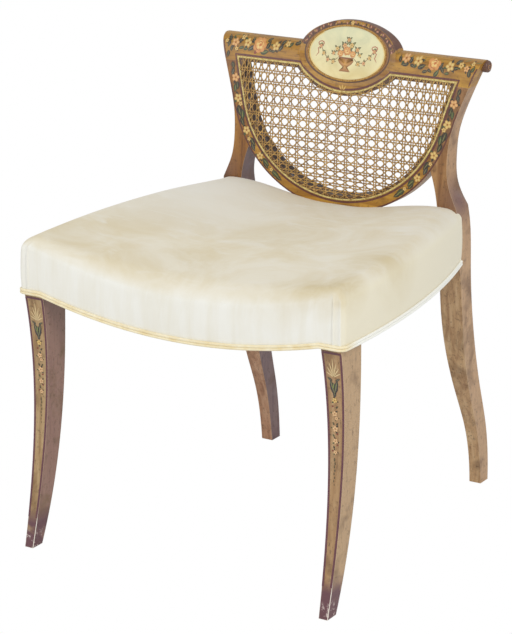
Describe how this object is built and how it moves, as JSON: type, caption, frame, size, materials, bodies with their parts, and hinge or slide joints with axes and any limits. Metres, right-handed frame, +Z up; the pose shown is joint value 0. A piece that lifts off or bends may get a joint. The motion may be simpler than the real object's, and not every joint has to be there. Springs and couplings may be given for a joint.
{
  "type": "side chair",
  "caption": "Low painted side chair with sabre legs, a caned half-round back under a scrolled crest with an oval tablet, and a stuffed velvet saddle seat.",
  "frame": {"origin": "on the floor under the middle of the chair's width and depth", "axes": "+X to the right seen from the front, -Y towards the front, +Z up"},
  "size_m": [0.5084, 0.57, 0.6822],
  "materials": {
    "satinwood": "rubbed satin varnish, painted decoration",
    "dowel_wood": "bare",
    "painted_panel": "oil-painted oval under varnish",
    "gilt_line": "dull gilt",
    "cane": "natural glossy cane",
    "rail_wood": "bare sawn beech",
    "screw_steel": "plain steel",
    "webbing": "woven jute webbing",
    "hessian": "open hessian weave",
    "dust_cloth": "black cambric",
    "stuffing": "cotton felt over hair",
    "velvet": "cream velvet",
    "welt_cord": "double welt cord"
  },
  "bodies": {
    "root": {"front_leg_right": "satinwood", "front_leg_left": "satinwood", "rear_stile_right": "satinwood", "rear_stile_left": "satinwood", "hoop_rail_right": "satinwood", "hoop_rail_left": "satinwood", "crest_rail": "satinwood", "hoop_dowels": "dowel_wood", "crest_dowels": "dowel_wood", "medallion_panel": "painted_panel", "medallion_bead": "gilt_line", "cane_verticals": "cane", "cane_horizontals": "cane", "cane_diagonals_rising": "cane", "cane_diagonals_falling": "cane", "cane_binding": "cane", "front_seat_rail": "rail_wood", "side_seat_rail_right": "rail_wood", "side_seat_rail_left": "rail_wood", "rear_seat_rail": "rail_wood", "front_corner_block_right": "rail_wood", "front_corner_block_left": "rail_wood", "rear_corner_block_right": "rail_wood", "rear_corner_block_left": "rail_wood", "corner_block_screws": "screw_steel", "webbing_lengthwise": "webbing", "webbing_crosswise": "webbing", "hessian": "hessian", "dust_cover": "dust_cloth", "seat_stuffing": "stuffing", "seat_cover": "velvet", "seat_welt_front": "welt_cord", "seat_welt_side_right": "welt_cord", "seat_welt_side_left": "welt_cord"}
  },
  "joints": []
}
